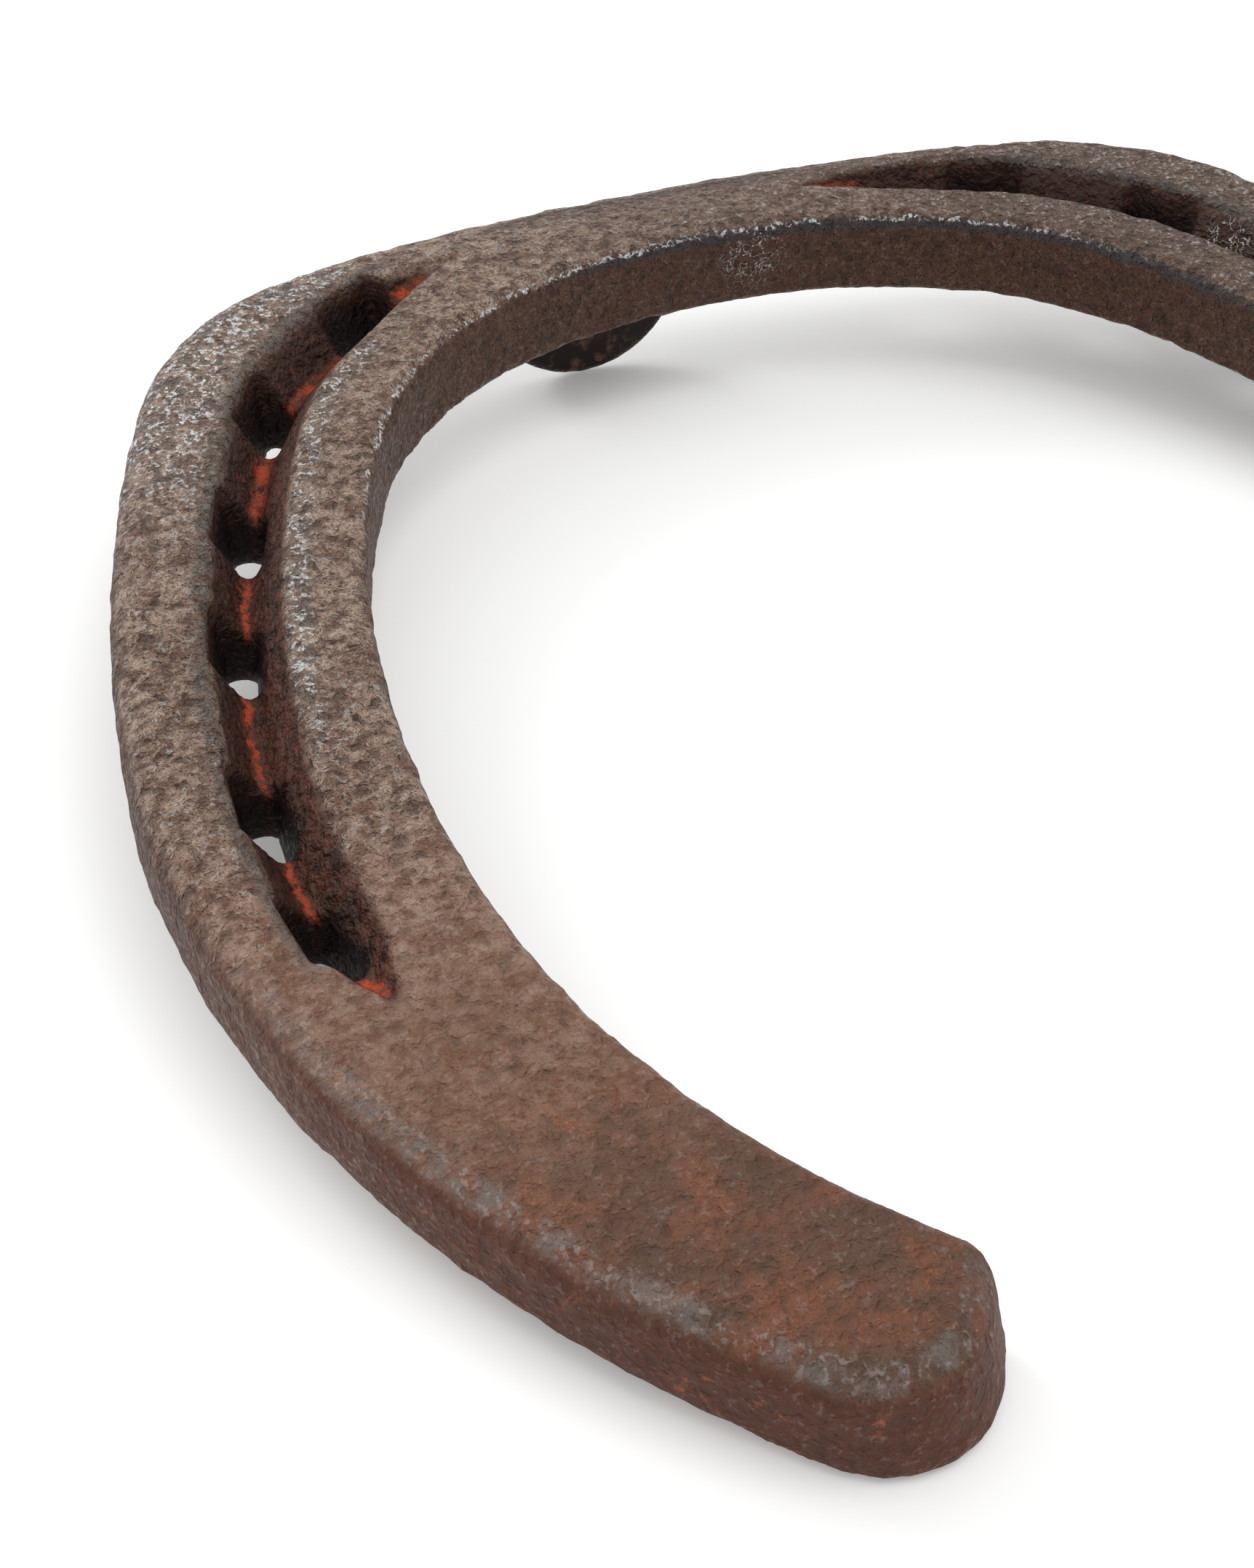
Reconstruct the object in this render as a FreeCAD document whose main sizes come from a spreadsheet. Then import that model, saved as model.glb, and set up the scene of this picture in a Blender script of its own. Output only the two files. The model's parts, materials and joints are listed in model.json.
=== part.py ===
import FreeCAD, Part
import math
import os

import Sketcher

# A fullered steel horseshoe with a half-round toe clip, at rest on a level floor
# with its ground side up, as it is put down: on the clip's tip and on both heels.
#
# Two frames are used.
#   shoe frame  origin on the hoof face at the toe's outer edge, where the left half's
#               curves begin, +Y from heel to toe, +X across to the right branch,
#               +Z from the hoof face to the ground face
#   part frame  the same axes after the shoe has tipped back onto its heels, +Z up,
#               origin under the middle of the shoe's box, on the floor
# Everything is modelled in the shoe frame and then placed in the part frame.

V = FreeCAD.Vector

DIMENSIONS = [
    # alias, millimetres, meaning
    ("bar_thickness", 8.0, "hoof face to ground face"),
    ("toe_web", 12.6, "width of the bar at the middle of the toe"),
    ("toe_bridge", 0.8, "straight stretch of the toe between the two halves' curves"),
    ("outer_toe_radius", 120.0, "outer edge, across the toe"),
    ("outer_toe_end", 35.0, "half the width of the toe's arc"),
    ("outer_shoulder_radius", 29.6, "outer edge, toe into branch"),
    ("outer_shoulder_end", 21.4, "behind the toe"),
    ("outer_quarter_radius", 141.0, "outer edge, front of the branch"),
    ("outer_quarter_end", 57.9, "behind the toe"),
    ("outer_heel_radius", 76.0, "outer edge, back of the branch"),
    ("outer_heel_end", 130.7, "behind the toe"),
    ("inner_toe_radius", 52.7, "inner edge, across the toe"),
    ("inner_toe_end", 17.1, "half the width of the toe's arc"),
    ("inner_shoulder_radius", 34.0, "inner edge, toe into branch"),
    ("inner_shoulder_end", 32.2, "behind the toe"),
    ("inner_quarter_radius", 91.4, "inner edge, front of the branch"),
    ("inner_quarter_end", 84.8, "behind the toe"),
    ("inner_heel_radius", 58.5, "inner edge, back of the branch"),
    ("inner_heel_end", 120.0, "behind the toe"),
    ("heel_slope", 15.4, "degrees that the heel's end leans in towards the ground face"),
    ("heel_corner_radius", 7.2, "outer corner of the heel, in plan"),
    ("outer_rim_radius", 2.6, "outer edge of the ground face and the heel's end"),
    ("inner_rim_radius", 1.4, "inner edge of the ground face"),
    ("hoof_rim_radius", 0.9, "both edges of the hoof face"),
    ("roll_length", 10.0, "how far back the toe's rolled ground face reaches"),
    ("roll_radius", 28.0, "curve of the rolled toe"),
    ("fuller_toe_set", 6.3, "middle of the crease behind the outer edge, at the toe"),
    ("fuller_toe_radius", 94.6, "line of the crease, across the toe"),
    ("fuller_toe_end", 19.6, "half the width of the toe's arc"),
    ("fuller_shoulder_radius", 35.6, "line of the crease, toe into branch"),
    ("fuller_shoulder_end", 28.2, "behind the toe"),
    ("fuller_quarter_radius", 130.0, "line of the crease, front of the branch"),
    ("fuller_quarter_end", 65.9, "behind the toe"),
    ("fuller_heel_radius", 61.2, "line of the crease, back of the branch"),
    ("fuller_heel_end", 98.0, "behind the toe"),
    ("fuller_depth", 4.0, "depth of the crease"),
    ("fuller_floor", 0.6, "width of the crease's floor"),
    ("fuller_floor_set", 0.4, "how much nearer the outer edge its floor is than its mouth"),
    ("fuller_flare", 0.66, "how far a crease wall leans out for each mm of height"),
    ("fuller_start_left", 20.1, "toe end of the left crease, along its own line"),
    ("fuller_start_right", 7.1, "toe end of the right crease, along its own line"),
    ("fuller_stop", 118.8, "heel end of both creases, along their own line"),
    ("fuller_run_in", 16.0, "length over which a crease deepens from the toe"),
    ("fuller_run_out", 11.5, "length over which a crease rises out at the heel"),
    ("nail_1_at", 32.4, "first left nail hole, along the crease's line from the toe"),
    ("nail_2_at", 48.2, "second hole; the spacing is uneven, as punched by hand"),
    ("nail_3_at", 63.7, "third hole"),
    ("nail_4_at", 77.8, "fourth hole"),
    ("nail_5_at", 94.8, "fifth hole"),
    ("nail_6_at", 107.5, "last hole, nearest the heel"),
    ("nail_shift_right", 3.2, "how much nearer the toe the right holes are"),
    ("nail_set_out", 1.0, "how far outside the crease's line the holes are"),
    ("nail_length", 6.0, "nail hole at the hoof face, along the crease"),
    ("nail_width", 2.0, "nail hole at the hoof face, across the crease"),
    ("nail_long_flare", 0.15, "growth of its length for each mm of height"),
    ("nail_wide_flare", 0.28, "growth of its width for each mm of height"),
    ("clip_radius", 9.4, "half-round outline of the toe clip"),
    ("clip_offset", 8.0, "clip's middle, left of the toe's middle"),
    ("clip_setback", 2.5, "clip's front face at its root, behind the toe"),
    ("clip_root", 2.7, "clip's thickness at its root"),
    ("clip_tip", 1.6, "clip's thickness at its tip"),
    ("clip_lean", 1.1, "how far back the front face's tip leans"),
    ("clip_seat", 1.5, "how deep the clip's root is let into the hoof face"),
    ("clip_edge_radius", 0.6, "edges of the clip"),
]

NAIL_HOLES = 6         # in each branch
CREASE_SECTIONS = 17   # cross-sections that one crease is lofted through
CLEARANCE = 1.0        # mm that a cutting solid stands clear of the metal it cuts
SAME_PLACE = 0.01      # mm within which two places count as one


# ---------------------------------------------------------------- document

def make_sheet(doc):
    sheet = doc.addObject("Spreadsheet::Sheet", "dims")
    for row, (alias, value, meaning) in enumerate(DIMENSIONS, 1):
        sheet.set("A%d" % row, alias)
        sheet.set("B%d" % row, str(value))
        sheet.set("C%d" % row, meaning)
        sheet.setAlias("B%d" % row, alias)
    doc.recompute()
    return sheet


def origin_plane(body, role):
    return [f for f in body.Origin.OriginFeatures if f.Role == role][0]


def new_sketch(body, name, role):
    sketch = body.newObject("Sketcher::SketchObject", name)
    sketch.AttachmentSupport = [(origin_plane(body, role), "")]
    sketch.MapMode = "FlatFace"
    return sketch


def bind(sketch, constraint, name, formula):
    """Add one constraint, name it and drive it from the sheet."""
    number = sketch.addConstraint(constraint)
    sketch.renameConstraint(number, name)
    sketch.setExpression("Constraints." + name, formula)


def edges_where(shape, test):
    return ["Edge%d" % n for n, edge in enumerate(shape.Edges, 1) if test(edge)]


def middle(edge):
    return edge.valueAt((edge.FirstParameter + edge.LastParameter) / 2)


# ---------------------------------------------------------------- plan of the bar

SIDES = ("toe", "shoulder", "quarter", "heel")


def side_arcs(sheet, edge, start_y):
    """The left half of one edge of the plan: four arcs, each tangent to the one before,
    from the middle of the toe round to the heel.  Each is (centre, radius, from, to)."""
    x, y, turn = 0.0, start_y, math.pi / 2
    arcs = []
    for side in SIDES:
        radius = sheet.get("%s_%s_radius" % (edge, side))
        stop = -sheet.get("%s_%s_end" % (edge, side))
        centre = V(x - radius * math.cos(turn), y - radius * math.sin(turn), 0)
        if side == "toe":
            end = math.acos((stop - centre.x) / radius)
        else:
            end = math.pi - math.asin((stop - centre.y) / radius)
        arcs.append((centre, radius, turn, end))
        x = centre.x + radius * math.cos(end)
        y = centre.y + radius * math.sin(end)
        turn = end
    return arcs


def arc_edge(arc):
    centre, radius, start, end = arc
    return Part.ArcOfCircle(Part.Circle(centre, V(0, 0, 1), radius), start, end)


def length_of(arc):
    _, radius, start, end = arc
    return radius * (end - start)


def place_on(arcs, distance):
    """The point a given distance along a run of arcs, and the run's heading there in
    radians about +Z."""
    left = distance
    n = 0
    while n < len(arcs) - 1 and left > length_of(arcs[n]):
        left -= length_of(arcs[n])
        n += 1
    centre, radius, start, _ = arcs[n]
    angle = start + left / radius
    return centre + V(radius * math.cos(angle), radius * math.sin(angle), 0), angle + math.pi / 2


def start_of(arcs):
    return place_on(arcs, 0.0)[0]


def end_of(arcs):
    return place_on(arcs, sum(length_of(arc) for arc in arcs))[0]


# ---------------------------------------------------------------- the bar's left half

def draw_plan(body, outer, inner, half_bridge):
    """Closed outline of the bar's left half, on the hoof face, with half of the toe's
    straight bridge."""
    sketch = new_sketch(body, "plan", "XY_Plane")
    count = len(SIDES)
    heel_line = count
    first_inner = count + 1
    last_inner = 2 * count
    inner_bridge = last_inner + 1
    middle_line = last_inner + 2
    outer_bridge = last_inner + 3
    heel = [end_of(outer), end_of(inner)]
    toe = [start_of(inner), start_of(outer)]
    cut = [point + V(half_bridge, 0, 0) for point in toe]
    for arc in outer:
        sketch.addGeometry(arc_edge(arc))
    sketch.addGeometry(Part.LineSegment(heel[0], heel[1]))
    for arc in inner:
        sketch.addGeometry(arc_edge(arc))
    sketch.addGeometry(Part.LineSegment(toe[0], cut[0]))
    sketch.addGeometry(Part.LineSegment(cut[0], cut[1]))
    sketch.addGeometry(Part.LineSegment(cut[1], toe[1]))

    start, end, centre = 1, 2, 3
    origin_point, y_axis = -1, -2
    C = Sketcher.Constraint
    sketch.addConstraint(C("Coincident", 0, start, origin_point, 1))
    sketch.addConstraint(C("PointOnObject", 0, centre, y_axis))
    sketch.addConstraint(C("PointOnObject", first_inner, start, y_axis))
    sketch.addConstraint(C("PointOnObject", first_inner, centre, y_axis))
    web = C("DistanceY", first_inner, start, origin_point, 1, -toe[0].y)
    bind(sketch, web, "toe_web", "dims.toe_web")
    for edge, first, arcs in (("outer", 0, outer), ("inner", first_inner, inner)):
        for n, side in enumerate(SIDES):
            name = "%s_%s" % (edge, side)
            centre_at, radius, _, end_angle = arcs[n]
            end_at = centre_at + V(radius * math.cos(end_angle), radius * math.sin(end_angle), 0)
            bind(sketch, C("Radius", first + n, radius), name + "_radius", "dims.%s_radius" % name)
            if side == "toe":
                stop = C("DistanceX", first + n, end, origin_point, 1, -end_at.x)
            else:
                stop = C("DistanceY", first + n, end, origin_point, 1, -end_at.y)
            bind(sketch, stop, name + "_end", "dims.%s_end" % name)
            if n:
                sketch.addConstraint(C("Tangent", first + n - 1, end, first + n, start))
    sketch.addConstraint(C("Coincident", count - 1, end, heel_line, start))
    sketch.addConstraint(C("Coincident", heel_line, end, last_inner, end))
    sketch.addConstraint(C("Coincident", inner_bridge, start, first_inner, start))
    sketch.addConstraint(C("Coincident", inner_bridge, end, middle_line, start))
    sketch.addConstraint(C("Coincident", middle_line, end, outer_bridge, start))
    sketch.addConstraint(C("Coincident", outer_bridge, end, 0, start))
    sketch.addConstraint(C("Horizontal", inner_bridge))
    sketch.addConstraint(C("Vertical", middle_line))
    sketch.addConstraint(C("Horizontal", outer_bridge))
    bridge = C("DistanceX", origin_point, 1, middle_line, end, half_bridge)
    bind(sketch, bridge, "half_bridge", "dims.toe_bridge / 2")
    return sketch


def roll_profile(body, sheet):
    """Side view of the metal worn off the toe: above an arc that leaves the ground face
    tangentially and falls towards the front."""
    sketch = new_sketch(body, "roll", "YZ_Plane")
    top = sheet.get("bar_thickness")
    back = -sheet.get("roll_length")
    radius = sheet.get("roll_radius")
    turn = math.asin((CLEARANCE - back) / radius)
    centre = V(back, top - radius, 0)
    front = centre + V(radius * math.sin(turn), radius * math.cos(turn), 0)
    arc = Part.ArcOfCircle(Part.Circle(centre, V(0, 0, 1), radius), math.pi / 2 - turn, math.pi / 2)
    roof = top + CLEARANCE
    sketch.addGeometry(arc)
    sketch.addGeometry(Part.LineSegment(V(back, top, 0), V(back, roof, 0)))
    sketch.addGeometry(Part.LineSegment(V(back, roof, 0), V(front.x, roof, 0)))
    sketch.addGeometry(Part.LineSegment(V(front.x, roof, 0), front))
    C = Sketcher.Constraint
    corners = [(0, 2, 1, 1), (1, 2, 2, 1), (2, 2, 3, 1), (3, 2, 0, 1)]
    for corner in corners:
        sketch.addConstraint(C("Coincident", *corner))
    sketch.addConstraint(C("Vertical", 1))
    sketch.addConstraint(C("Horizontal", 2))
    sketch.addConstraint(C("Vertical", 3))
    sketch.addConstraint(C("DistanceX", -1, 1, 2, 2, CLEARANCE))
    sketch.addConstraint(C("DistanceY", -1, 1, 2, 2, roof))
    sketch.addConstraint(C("Vertical", 0, 3, 0, 2))
    bind(sketch, C("Radius", 0, radius), "radius", "dims.roll_radius")
    bind(sketch, C("DistanceX", 0, 2, -1, 1, -back), "length", "dims.roll_length")
    bind(sketch, C("DistanceY", -1, 1, 0, 2, top), "top", "dims.bar_thickness")
    return sketch


def round_edges(body, base, name, formula, test):
    """Round every edge of the base feature that the test picks."""
    fillet = body.newObject("PartDesign::Fillet", name)
    fillet.Base = (base, edges_where(base.Shape, test))
    fillet.setExpression("Radius", formula)
    body.Document.recompute()
    return fillet


def slope_heel(body, base, outer, inner):
    """Lean the heel's end face in towards the ground face, about its edge on the hoof face."""
    end_middle = (end_of(outer) + end_of(inner)) * 0.5
    faces = ["Face%d" % n for n, face in enumerate(base.Shape.Faces, 1)
             if face.distToShape(Part.Vertex(end_middle))[0] < SAME_PLACE
             and abs(face.normalAt(0, 0).z) < SAME_PLACE]
    slope = body.newObject("PartDesign::Draft", "heel_slope")
    slope.Base = (base, faces)
    slope.NeutralPlane = (origin_plane(body, "XY_Plane"), [""])
    slope.setExpression("Angle", "dims.heel_slope")
    body.Document.recompute()
    return slope


def make_half_bar(doc, sheet, outer, inner):
    """The left half of the bar before it is creased and punched: the plan raised to the
    bar's thickness, the toe rolled, the heel's end sloped, its corner and all the rims
    rounded."""
    body = doc.addObject("PartDesign::Body", "half_bar")
    pad = body.newObject("PartDesign::Pad", "bar")
    half_bridge = sheet.get("toe_bridge") / 2
    pad.Profile = draw_plan(body, outer, inner, half_bridge)
    pad.setExpression("Length", "dims.bar_thickness")
    doc.recompute()

    roll = body.newObject("PartDesign::Pocket", "toe_roll")
    roll.Profile = roll_profile(body, sheet)
    roll.Type = "ThroughAll"
    roll.Midplane = True
    doc.recompute()
    if roll.Shape.Volume >= pad.Shape.Volume:
        raise RuntimeError("the toe roll cut nothing")

    slope = slope_heel(body, roll, outer, inner)
    if slope.Shape.Volume >= roll.Shape.Volume:
        raise RuntimeError("the heel's slope cut nothing")

    half_height = sheet.get("bar_thickness") / 2
    heel_point = end_of(outer)
    inner_start = start_of(inner)
    inner_bridge = Part.LineSegment(inner_start + V(half_bridge, 0, 0), inner_start)
    inner_wall = Part.Wire([inner_bridge.toShape()] + [arc_edge(arc).toShape() for arc in inner])

    def is_upright(edge):
        return abs(edge.Vertexes[0].Z - edge.Vertexes[-1].Z) > half_height

    def is_heel_corner(edge):
        foot = min((v.Point for v in edge.Vertexes), key=lambda point: point.z)
        return is_upright(edge) and foot.distanceToPoint(heel_point) < SAME_PLACE

    corner = round_edges(body, slope, "heel_corner", "dims.heel_corner_radius", is_heel_corner)

    def is_rim(edge):
        """An edge of the ground or hoof face, and not the cut at the middle of the toe or
        the line across the ground face where the toe's roll begins."""
        on_middle_cut = abs(middle(edge).x - half_bridge) < SAME_PLACE
        at_roll = all(abs(v.Y + sheet.get("roll_length")) < SAME_PLACE for v in edge.Vertexes)
        return not is_upright(edge) and not on_middle_cut and not at_roll

    def on_inner_wall(edge):
        at = middle(edge)
        return inner_wall.distToShape(Part.Vertex(V(at.x, at.y, 0)))[0] < SAME_PLACE

    def is_outer_top(edge):
        return is_rim(edge) and middle(edge).z > half_height and not on_inner_wall(edge)

    def is_inner_top(edge):
        return is_rim(edge) and middle(edge).z > half_height and on_inner_wall(edge)

    def is_bottom(edge):
        return is_rim(edge) and middle(edge).z < SAME_PLACE

    rim = round_edges(body, corner, "outer_rim", "dims.outer_rim_radius", is_outer_top)
    rim = round_edges(body, rim, "inner_rim", "dims.inner_rim_radius", is_inner_top)
    round_edges(body, rim, "hoof_rim", "dims.hoof_rim_radius", is_bottom)
    return body


# ---------------------------------------------------------------- creases and nail holes

def crease_depth(sheet, distance, start):
    """Depth of the crease at a distance along its line.  It deepens smoothly from the
    toe and rises smoothly again at the heel."""
    run_in = (distance - start) / sheet.get("fuller_run_in")
    run_out = (sheet.get("fuller_stop") - distance) / sheet.get("fuller_run_out")
    press = max(0.0, min(1.0, run_in, run_out))
    return sheet.get("fuller_depth") * press * press * (3 - 2 * press)


def on_side(sheet, point, side):
    """A point of the left half where side is 1, or its image in the right half where it
    is -1."""
    if side > 0:
        return point
    return V(sheet.get("toe_bridge") - point.x, point.y, point.z)


def make_crease(doc, sheet, line, side, name):
    """The solid that presses one crease: a V-shaped blade with a narrow flat edge,
    lofted along the crease's line and lifted clear at both ends."""
    start = sheet.get("fuller_start_" + name)
    stop = sheet.get("fuller_stop")
    top = sheet.get("bar_thickness")
    half_floor = sheet.get("fuller_floor") / 2
    blade = sheet.get("fuller_depth") + CLEARANCE
    half_back = half_floor + sheet.get("fuller_flare") * blade
    floor_set = sheet.get("fuller_floor_set")
    profile = [(-half_floor - floor_set, 0), (half_floor - floor_set, 0),
               (half_back, blade), (-half_back, blade)]
    sections = []
    for n in range(CREASE_SECTIONS):
        share = (1 - math.cos(math.pi * n / (CREASE_SECTIONS - 1))) / 2
        distance = start + (stop - start) * share
        low = top - crease_depth(sheet, distance, start)
        at, heading = place_on(line, distance)
        across = V(-math.sin(heading), math.cos(heading), 0)
        corners = [at + across * out + V(0, 0, low + rise) for out, rise in profile]
        corners = [on_side(sheet, corner, side) for corner in corners]
        sections.append(Part.makePolygon(corners + corners[:1]))
    crease = doc.addObject("Part::Feature", "crease_" + name)
    crease.Shape = Part.makeLoft(sections, True, False)
    return crease


def nail_place(sheet, line, distance):
    """The middle of a left nail hole on the hoof face, and the crease's heading there."""
    at, heading = place_on(line, distance)
    return at + V(math.sin(heading), -math.cos(heading), 0) * sheet.get("nail_set_out"), heading


def make_nail_hole(doc, sheet, line, distance, side, name):
    """The solid that punches one nail hole: a four-sided taper, wider at the ground
    face, with its long side along the crease."""
    hole = doc.addObject("Part::Wedge", name)
    below = "-%g" % CLEARANCE
    above = "(dims.bar_thickness + %g)" % CLEARANCE
    sides = (("X", "dims.nail_length", "dims.nail_long_flare"),
             ("Z", "dims.nail_width", "dims.nail_wide_flare"))
    for axis, size, flare in sides:
        for end, level in (("", below), ("2", above)):
            half = "(%s + %s * %s) / 2" % (size, flare, level)
            hole.setExpression(axis + end + "min", "-" + half)
            hole.setExpression(axis + end + "max", half)
    hole.setExpression("Ymin", below)
    hole.setExpression("Ymax", above)
    at, heading = nail_place(sheet, line, distance)
    turn = FreeCAD.Rotation(V(0, 0, 1), side * math.degrees(heading))
    upright = FreeCAD.Rotation(V(1, 0, 0), 90)
    hole.Placement = FreeCAD.Placement(on_side(sheet, at, side), turn.multiply(upright))
    return hole


def make_clip_seat(doc, sheet):
    """The solid that cuts the seat for the clip's root into the toe's hoof face."""
    seat = doc.addObject("Part::Box", "clip_seat")
    seat.setExpression("Length", "2 * dims.clip_radius")
    seat.setExpression("Width", "dims.clip_root")
    seat.setExpression("Height", "dims.clip_seat + %g" % CLEARANCE)
    left = -sheet.get("clip_offset") - sheet.get("clip_radius")
    back = -sheet.get("clip_setback") - sheet.get("clip_root")
    seat.Placement = FreeCAD.Placement(V(left, back, -CLEARANCE), FreeCAD.Rotation())
    return seat


def make_shoe_bar(doc, sheet):
    """Both halves of the bar joined, with a crease and its nail holes in each branch and
    the clip's seat in the toe."""
    outer = side_arcs(sheet, "outer", 0.0)
    inner = side_arcs(sheet, "inner", -sheet.get("toe_web"))
    line = side_arcs(sheet, "fuller", -sheet.get("fuller_toe_set"))
    left = make_half_bar(doc, sheet, outer, inner)
    right = doc.addObject("Part::Mirroring", "right_half")
    right.Source = left
    right.Normal = V(1, 0, 0)
    right.setExpression("Base.x", "dims.toe_bridge / 2")
    whole = doc.addObject("Part::Fuse", "whole_bar")
    whole.Base = left
    whole.Tool = right
    whole.Refine = True
    tools = [make_clip_seat(doc, sheet)]
    for name, side, shift in (("left", 1, 0.0), ("right", -1, sheet.get("nail_shift_right"))):
        tools.append(make_crease(doc, sheet, line, side, name))
        for number in range(1, NAIL_HOLES + 1):
            distance = sheet.get("nail_%d_at" % number) - shift
            hole = "nail_hole_%s_%d" % (name, number)
            tools.append(make_nail_hole(doc, sheet, line, distance, side, hole))
    punches = doc.addObject("Part::MultiFuse", "creases_and_holes")
    punches.Shapes = tools
    bar = doc.addObject("Part::Cut", "shoe_bar")
    bar.Label = "shoe_bar"
    bar.Base = whole
    bar.Tool = punches
    doc.recompute()
    return bar


# ---------------------------------------------------------------- toe clip

def closed_outline(sketch, points):
    """Straight sides between points, joined end to end."""
    count = len(points)
    for n in range(count):
        sketch.addGeometry(Part.LineSegment(points[n], points[(n + 1) % count]))
    for n in range(count):
        sketch.addConstraint(Sketcher.Constraint("Coincident", n, 2, (n + 1) % count, 1))


def make_toe_clip(doc, sheet):
    """A tab that stands on the toe's hoof face: a wedge seen from the side, cut to a
    half-round outline seen from the front, with its square root let into the face."""
    radius = sheet.get("clip_radius")
    front = sheet.get("clip_setback")
    root = sheet.get("clip_root")
    tip = sheet.get("clip_tip")
    lean = sheet.get("clip_lean")
    C = Sketcher.Constraint

    body = doc.addObject("PartDesign::Body", "toe_clip")
    body.Label = "toe_clip"
    side = new_sketch(body, "side_view", "YZ_Plane")
    closed_outline(side, [V(-front, 0, 0), V(-front - lean, -radius, 0),
                          V(-front - lean - tip, -radius, 0), V(-front - root, 0, 0)])
    side.addConstraint(C("PointOnObject", 0, 1, -1))
    side.addConstraint(C("PointOnObject", 3, 1, -1))
    side.addConstraint(C("Horizontal", 1))
    bind(side, C("DistanceX", 0, 1, -1, 1, front), "setback", "dims.clip_setback")
    bind(side, C("DistanceX", 3, 1, 0, 1, root), "root", "dims.clip_root")
    bind(side, C("DistanceX", 0, 2, 0, 1, lean), "lean", "dims.clip_lean")
    bind(side, C("DistanceX", 1, 2, 1, 1, tip), "tip", "dims.clip_tip")
    bind(side, C("DistanceY", 0, 2, -1, 1, radius), "height", "dims.clip_radius")
    slab = body.newObject("PartDesign::Pad", "slab")
    slab.Profile = side
    slab.Midplane = True
    slab.setExpression("Length", "2 * dims.clip_radius")
    doc.recompute()

    outline = new_sketch(body, "front_view", "XZ_Plane")
    wide = radius + CLEARANCE
    half_round = Part.Circle(V(0, 0, 0), V(0, 0, 1), radius)
    corners = [V(radius, 0, 0), V(wide, 0, 0), V(wide, -wide, 0), V(-wide, -wide, 0),
               V(-wide, 0, 0), V(-radius, 0, 0)]
    outline.addGeometry(Part.ArcOfCircle(half_round, math.pi, 2 * math.pi))
    for a, b in zip(corners, corners[1:]):
        outline.addGeometry(Part.LineSegment(a, b))
    for n in range(len(corners)):
        outline.addConstraint(C("Coincident", n, 2, (n + 1) % len(corners), 1))
    outline.addConstraint(C("Coincident", 0, 3, -1, 1))
    outline.addConstraint(C("PointOnObject", 0, 1, -1))
    for level in (1, 3, 5):
        outline.addConstraint(C("Horizontal", level))
    for upright in (2, 4):
        outline.addConstraint(C("Vertical", upright))
    outline.addConstraint(C("Equal", 1, 5))
    outline.addConstraint(C("DistanceX", 1, 1, 1, 2, CLEARANCE))
    outline.addConstraint(C("DistanceY", 2, 2, 2, 1, wide))
    bind(outline, C("Radius", 0, radius), "radius", "dims.clip_radius")
    trim = body.newObject("PartDesign::Pocket", "half_round")
    trim.Profile = outline
    trim.Type = "ThroughAll"
    trim.Midplane = True
    doc.recompute()
    if trim.Shape.Volume >= slab.Shape.Volume:
        raise RuntimeError("the clip's outline cut nothing")

    def rim(edge):
        return edge.Length > math.pi * radius / 2 and edge.BoundBox.ZMin < -radius / 2

    round_edges(body, trim, "clip_edge", "dims.clip_edge_radius", rim)

    plan = new_sketch(body, "root_plan", "XY_Plane")
    closed_outline(plan, [V(-radius, -front, 0), V(-radius, -front - root, 0),
                          V(radius, -front - root, 0), V(radius, -front, 0)])
    for upright in (0, 2):
        plan.addConstraint(C("Vertical", upright))
    for level in (1, 3):
        plan.addConstraint(C("Horizontal", level))
    bind(plan, C("DistanceX", 0, 1, -1, 1, radius), "left", "dims.clip_radius")
    bind(plan, C("DistanceX", -1, 1, 3, 1, radius), "right", "dims.clip_radius")
    bind(plan, C("DistanceY", 0, 1, -1, 1, front), "setback", "dims.clip_setback")
    bind(plan, C("DistanceY", 1, 1, 0, 1, root), "root", "dims.clip_root")
    let_in = body.newObject("PartDesign::Pad", "root")
    let_in.Profile = plan
    let_in.setExpression("Length", "dims.clip_seat")
    doc.recompute()
    return body


# ---------------------------------------------------------------- rest pose and output

STEEPEST_TILT = 15.0   # degrees
HALVINGS = 30          # enough to settle the tilt well below a micrometre


def lowest(shape):
    return shape.optimalBoundingBox(False, False).ZMin


def resting_tilt(bar, clip):
    """Degrees that the shoe tips back, found by halving, so that the clip's tip and the
    heels are on one level floor."""
    low, high = 0.0, STEEPEST_TILT
    for _ in range(HALVINGS):
        tilt = (low + high) / 2
        turn = FreeCAD.Placement(V(0, 0, 0), FreeCAD.Rotation(V(1, 0, 0), tilt))
        heels = lowest(bar.transformed(turn.toMatrix()))
        tip = lowest(clip.transformed(turn.toMatrix()))
        if tip < heels:
            low = tilt
        else:
            high = tilt
    return tilt


def put_at_rest(sheet, bar, clip):
    """Place both pieces in the part frame."""
    slide = V(-sheet.get("clip_offset"), 0, 0)
    clip_shape = clip.Shape.translated(slide)
    tilt = resting_tilt(bar.Shape, clip_shape)
    turn = FreeCAD.Rotation(V(1, 0, 0), tilt)
    turned = [shape.transformed(FreeCAD.Placement(V(0, 0, 0), turn).toMatrix())
              for shape in (bar.Shape, clip_shape)]
    boxes = [shape.optimalBoundingBox(False, False) for shape in turned]
    x = (min(b.XMin for b in boxes) + max(b.XMax for b in boxes)) / 2
    y = (min(b.YMin for b in boxes) + max(b.YMax for b in boxes)) / 2
    z = min(b.ZMin for b in boxes)
    bar.Placement = FreeCAD.Placement(V(-x, -y, -z), turn)
    clip.Placement = FreeCAD.Placement(V(-x, -y, -z) + turn.multVec(slide), turn)
    print("tilt %.3f degrees, shift %.3f %.3f %.3f" % (tilt, -x, -y, -z))


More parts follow.
